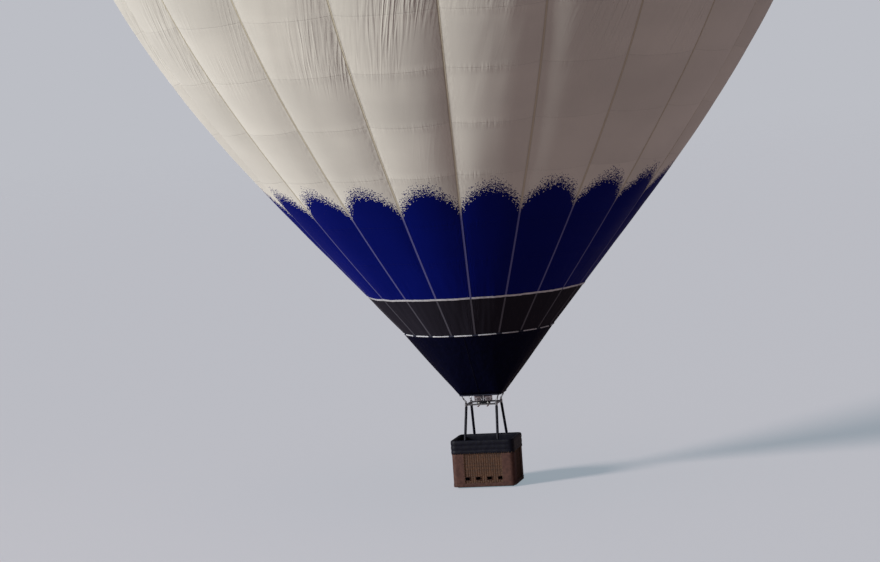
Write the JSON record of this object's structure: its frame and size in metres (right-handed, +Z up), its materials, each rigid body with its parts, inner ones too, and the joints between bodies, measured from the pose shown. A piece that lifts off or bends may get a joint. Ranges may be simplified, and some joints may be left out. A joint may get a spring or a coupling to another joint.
{
  "type": "hot air balloon",
  "caption": "Upright balloon with a gored fabric envelope, mouth skirt, wires, gimballed twin burner on a load frame, padded uprights and a wicker basket with gas cylinders.",
  "frame": {"origin": "the point on the envelope's axis, 17 m above the skids, where the air's lift is taken to act", "axes": "+Z up along the envelope's axis, +X along the basket's long side, -Y is the basket's front"},
  "size_m": [19.843, 19.843, 27.1716],
  "materials": {
    "white_fabric": "coated ripstop cloth, soft sheen",
    "pale_blue_fabric": "coated ripstop cloth, stippled edge of blue on white",
    "blue_fabric": "coated ripstop cloth, soft sheen",
    "heat_fabric": "matt heat-resistant cloth",
    "navy_fabric": "matt heat-resistant cloth",
    "webbing": "woven load tape",
    "wire": "stranded stainless wire",
    "stainless_steel": "brushed",
    "dark_steel": "dull, heat-stained",
    "brass_fitting": "dull",
    "red_plastic": "satin",
    "wicker": "varnished willow and cane weave",
    "navy_leather": "padded, grained",
    "hide": "raw hide, scuffed",
    "plywood": "varnished plywood",
    "hardwood": "worn hardwood",
    "cylinder_jacket": "padded jacket"
  },
  "bodies": {
    "root": {"heat_resistant_band": "heat_fabric", "blue_band": "blue_fabric", "scallop_band": "pale_blue_fabric", "lower_white_band": "white_fabric", "equator_band": "white_fabric", "upper_white_band": "white_fabric", "crown_band": "white_fabric", "vent_tapes": "webbing", "crown_ring": "stainless_steel", "mouth_hem": "webbing", "skirt_panel_1": "navy_fabric", "skirt_panel_2": "navy_fabric", "skirt_panel_3": "navy_fabric", "skirt_panel_4": "navy_fabric", "skirt_hem": "navy_fabric", "flying_wires_1": "wire", "flying_wires_2": "wire", "flying_wires_3": "wire", "flying_wires_4": "wire", "carabiner_1": "stainless_steel", "carabiner_2": "stainless_steel", "carabiner_3": "stainless_steel", "carabiner_4": "stainless_steel", "load_frame": "stainless_steel", "upright_cover_1": "navy_leather", "upright_cover_2": "navy_leather", "upright_cover_3": "navy_leather", "upright_cover_4": "navy_leather", "basket_wall": "wicker", "rim_pad": "navy_leather", "base_band": "hide", "corner_leather_1": "hide", "corner_leather_2": "hide", "corner_leather_3": "hide", "corner_leather_4": "hide", "basket_floor": "plywood", "skid_1": "hardwood", "skid_2": "hardwood", "skid_3": "hardwood", "gas_cylinder_1": "cylinder_jacket", "gas_cylinder_2": "cylinder_jacket", "gas_cylinder_3": "cylinder_jacket", "gas_cylinder_4": "cylinder_jacket"},
    "gimbal": {"gimbal_ring": "stainless_steel"},
    "burner": {"burner_block": "dark_steel", "burner_can_1": "stainless_steel", "burner_can_2": "stainless_steel", "jet_ring_1": "brass_fitting", "jet_ring_2": "brass_fitting", "burner_coil_1": "dark_steel", "burner_coil_2": "dark_steel", "blast_valve_1": "red_plastic", "blast_valve_2": "red_plastic"},
    "parachute": {"parachute_valve": "blue_fabric"}
  },
  "joints": [
    {"name": "burner_pitch", "type": "hinge", "parent": "root", "child": "gimbal", "pos_m": [0, 0, -14.86], "axis": [1, 0, 0], "range_deg": [-18, 18]},
    {"name": "burner_roll", "type": "hinge", "parent": "gimbal", "child": "burner", "pos_m": [0, 0, -14.86], "axis": [0, 1, 0], "range_deg": [-15, 15]},
    {"name": "parachute_pull", "type": "slide", "parent": "root", "child": "parachute", "axis": [0, 0, -1], "range_m": [0, 1.2]}
  ]
}
